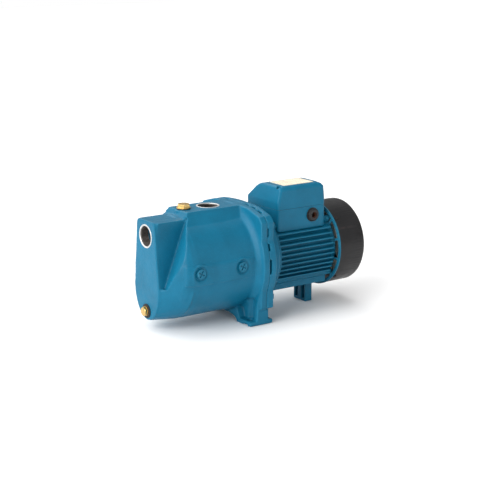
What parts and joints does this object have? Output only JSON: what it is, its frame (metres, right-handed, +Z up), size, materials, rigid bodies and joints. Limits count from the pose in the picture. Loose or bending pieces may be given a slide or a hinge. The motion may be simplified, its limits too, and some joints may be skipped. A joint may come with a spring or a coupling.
{
  "type": "shallow well jet pump",
  "caption": "Horizontal self-priming jet pump: cast casing with built-in ejector, front suction and top outlet ports, flanged bracket, feet, finned motor, terminal box and fan cover.",
  "frame": {"origin": "midway between the two floor bolt holes of the front feet, on the floor", "axes": "+X along the shaft from the suction face to the fan cover, +Z up, -Y the side with the cable gland"},
  "size_m": [0.4065, 0.2, 0.2176],
  "materials": {
    "blue_cast_iron": "satin paint over a sand-cast surface",
    "blue_aluminium": "satin paint over die-cast aluminium",
    "blue_plastic": "satin moulded plastic",
    "blue_steel": "satin paint over steel, painted with the casing",
    "black_steel": "satin black enamel on pressed sheet",
    "black_plastic": "moulded, fine matt texture",
    "black_rubber": "matt",
    "brown_rubber": "matt",
    "brass": "turned, satin",
    "zinc_steel": "zinc plated",
    "shaft_steel": "ground",
    "bearing_steel": "polished",
    "core_steel": "laminated, bare edges",
    "copper": "varnished enamelled wire",
    "bare_aluminium": "die cast",
    "ceramic": "lapped face",
    "graphite": "lapped face in a steel case",
    "white_plastic": "moulded",
    "label": "blank printed film"
  },
  "bodies": {
    "pump": {"pump_casing": "blue_cast_iron", "side_plugs": "blue_cast_iron", "casing_o_ring": "black_rubber", "ejector_body": "black_plastic", "nozzle": "brass", "ejector_o_ring": "black_rubber", "venturi_tube": "black_plastic", "diffuser": "black_plastic", "motor_bracket": "blue_cast_iron", "casing_bolts": "blue_steel", "casing_washers": "blue_steel", "seal_seat": "ceramic", "seal_cup": "black_rubber", "front_bearing_outer": "bearing_steel", "motor_frame": "blue_aluminium", "stator_core": "core_steel", "stator_windings": "copper", "rear_bearing_outer": "bearing_steel", "wave_spring": "zinc_steel", "rear_end_shield": "blue_aluminium", "tie_rods": "zinc_steel", "tie_rod_nuts": "zinc_steel", "fan_cover": "black_steel", "fan_cover_screws": "black_steel", "terminal_box": "blue_plastic", "terminal_lid": "blue_plastic", "lid_gasket": "black_rubber", "lid_screws": "zinc_steel", "nameplate": "label", "terminal_block": "white_plastic", "terminal_studs": "brass", "capacitor": "white_plastic", "capacitor_clip": "zinc_steel", "earth_screw": "brass", "gland_body": "black_plastic", "gland_nut": "black_plastic", "gland_seal": "brown_rubber", "rear_foot": "blue_aluminium", "rear_foot_screw": "zinc_steel"},
    "rotor": {"shaft": "shaft_steel", "impeller": "brass", "impeller_key": "shaft_steel", "impeller_nut": "brass", "seal_head": "graphite", "seal_spring": "zinc_steel", "slinger_ring": "black_rubber", "front_bearing_inner": "bearing_steel", "rear_bearing_inner": "bearing_steel", "rotor_core": "core_steel", "rotor_cage": "bare_aluminium", "cooling_fan": "white_plastic", "fan_clip": "zinc_steel"},
    "front_cage": {"front_bearing_balls": "bearing_steel"},
    "rear_cage": {"rear_bearing_balls": "bearing_steel"},
    "filling_plug": {"priming_plug": "brass"},
    "filling_washer": {"priming_washer": "black_rubber"},
    "drain_screw": {"drain_plug": "brass"},
    "drain_ring": {"drain_washer": "black_rubber"}
  },
  "joints": [
    {"name": "shaft_spin", "type": "hinge", "parent": "pump", "child": "rotor", "pos_m": [0, 0, 0.1], "axis": [1, 0, 0], "continuous": true},
    {"name": "front_cage_spin", "type": "hinge", "parent": "pump", "child": "front_cage", "pos_m": [0.054, 0, 0.1], "axis": [1, 0, 0], "continuous": true},
    {"name": "rear_cage_spin", "type": "hinge", "parent": "pump", "child": "rear_cage", "pos_m": [0.1805, 0, 0.1], "axis": [1, 0, 0], "continuous": true},
    {"name": "filling_plug_lift", "type": "slide", "parent": "pump", "child": "filling_washer", "axis": [0, 0, 1], "range_m": [0, 0.0107]},
    {"name": "filling_plug_turn", "type": "hinge", "parent": "filling_washer", "child": "filling_plug", "pos_m": [-0.083, 0, 0.193], "axis": [0, 0, 1], "range_deg": [0, 2880]},
    {"name": "drain_plug_slide", "type": "slide", "parent": "pump", "child": "drain_ring", "axis": [-1, 0, 0], "range_m": [0, 0.01203]},
    {"name": "drain_plug_turn", "type": "hinge", "parent": "drain_ring", "child": "drain_screw", "pos_m": [-0.155, 0, 0.0325], "axis": [-1, 0, 0], "range_deg": [0, 3240]}
  ],
  "couplings": [
    {"joint": "front_cage_spin", "follows": "shaft_spin", "ratio": 0.3825},
    {"joint": "rear_cage_spin", "follows": "shaft_spin", "ratio": 0.382},
    {"joint": "filling_plug_turn", "follows": "filling_plug_lift", "rad_per_m": 4699.5},
    {"joint": "drain_plug_turn", "follows": "drain_plug_slide", "rad_per_m": 4699.5}
  ]
}
